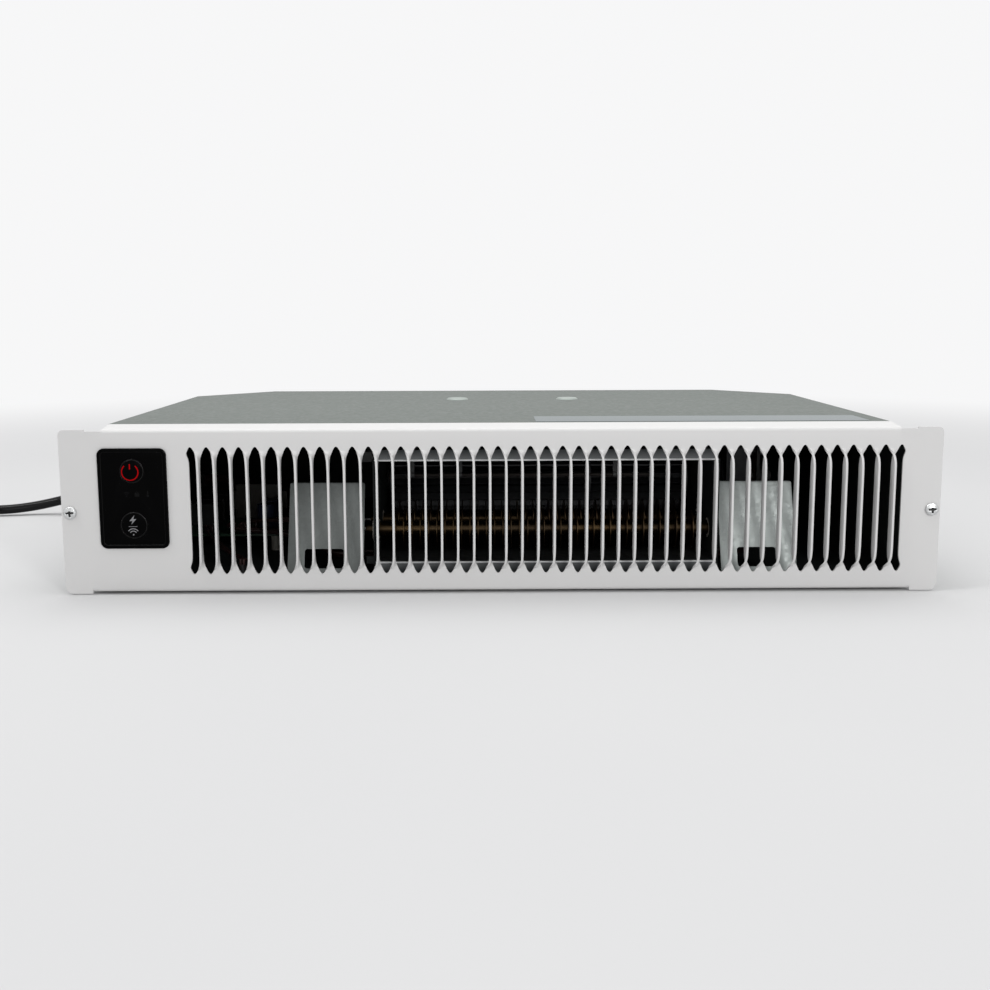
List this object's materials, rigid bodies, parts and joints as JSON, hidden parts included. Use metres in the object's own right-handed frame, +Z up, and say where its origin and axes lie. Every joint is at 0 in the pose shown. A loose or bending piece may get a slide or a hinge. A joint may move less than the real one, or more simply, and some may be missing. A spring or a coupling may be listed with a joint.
{
  "type": "plinth heater",
  "caption": "Low electric fan heater for a kitchen plinth: slotted grille, push-button controls, finned elements and cross-flow fan in a steel casing, with mains lead.",
  "frame": {"origin": "on the floor, below the middle of the heater's own width and depth, the mains lead left out", "axes": "+Z up; the grille faces -Y, the mains lead leaves on -X, and +X is to the right seen from the front"},
  "size_m": [0.774, 0.3258, 0.095],
  "materials": {
    "galvanised_sheet": "satin, spangled zinc",
    "cover_sheet": "matt grey green",
    "white_powder_coat": "fine satin powder coat",
    "zinc_plated_steel": "bright zinc",
    "ground_steel": "ground",
    "lamination_steel": "matt, laminated",
    "winding_copper": "lacquered winding under tape",
    "bush_bronze": "sintered bronze",
    "black_rubber": "matt",
    "label_film": "satin film, blank",
    "heat_tinted_steel": "heat-tinted straw gold",
    "ceramic": "unglazed steatite",
    "fan_aluminium": "rolled",
    "capacitor_aluminium": "sleeved",
    "black_moulding": "matt",
    "panel_black": "satin",
    "button_gloss": "gloss",
    "circuit_board": "dark green solder mask",
    "pale_moulding": "satin",
    "relay_black": "satin",
    "transformer_tape": "dark tape over the winding",
    "wire_insulation": "satin, several colours",
    "cord_rubber": "semi-gloss",
    "tie_nylon": "satin",
    "plug_moulding": "fine texture",
    "pin_brass": "bright"
  },
  "bodies": {
    "casing": {"casing_tray": "galvanised_sheet", "top_cover": "cover_sheet", "cover_screws": "zinc_plated_steel", "grille_brackets": "galvanised_sheet", "front_grille": "white_powder_coat", "grille_screws": "zinc_plated_steel", "rubber_feet": "black_rubber", "rating_label": "label_film", "fan_scroll": "galvanised_sheet", "duct_roof": "galvanised_sheet", "fan_plate_left": "galvanised_sheet", "fan_plate_right": "galvanised_sheet", "fan_plate_screws": "zinc_plated_steel", "left_baffle": "galvanised_sheet", "right_baffle": "galvanised_sheet", "baffle_screws": "zinc_plated_steel", "front_element": "heat_tinted_steel", "rear_element": "heat_tinted_steel", "element_bushes": "ceramic", "element_terminals": "zinc_plated_steel", "shaft_bush": "bush_bronze", "bush_grommet": "black_rubber", "motor_stator": "lamination_steel", "motor_coil": "winding_copper", "motor_brackets": "galvanised_sheet", "motor_bushes": "bush_bronze", "motor_spacers": "zinc_plated_steel", "motor_screws": "zinc_plated_steel", "thermal_cutout": "black_moulding", "thermal_fuse": "ceramic", "sensor_bulb": "heat_tinted_steel", "sensor_clips": "galvanised_sheet", "room_sensor": "black_moulding", "control_panel": "panel_black", "panel_board": "circuit_board", "panel_switches": "black_moulding", "power_board": "circuit_board", "board_standoffs": "pale_moulding", "board_relays": "relay_black", "board_transformer": "transformer_tape", "board_capacitors": "capacitor_aluminium", "terminal_block": "pale_moulding", "earth_screw": "bush_bronze", "supply_wiring": "wire_insulation", "element_wiring": "wire_insulation", "motor_wiring": "wire_insulation", "panel_wiring": "wire_insulation", "sensor_wiring": "wire_insulation", "strain_relief": "cord_rubber", "mains_cord": "cord_rubber", "cord_coil": "cord_rubber", "cord_tie": "tie_nylon", "plug_body": "plug_moulding", "plug_pins": "pin_brass"},
    "fan": {"impeller": "fan_aluminium", "fan_shaft": "ground_steel", "motor_rotor": "ground_steel"},
    "power": {"power_button": "button_gloss"},
    "mode": {"mode_button": "button_gloss"}
  },
  "joints": [
    {"name": "fan_spin", "type": "hinge", "parent": "casing", "child": "fan", "pos_m": [0, -0.03715, 0.0495], "axis": [1, 0, 0], "continuous": true},
    {"name": "power_press", "type": "slide", "parent": "casing", "child": "power", "axis": [0, 1, 0], "range_m": [0, 0.0006], "stiffness_N_per_m": 600, "springref_m": -0.001},
    {"name": "mode_press", "type": "slide", "parent": "casing", "child": "mode", "axis": [0, 1, 0], "range_m": [0, 0.0006], "stiffness_N_per_m": 600, "springref_m": -0.001}
  ]
}
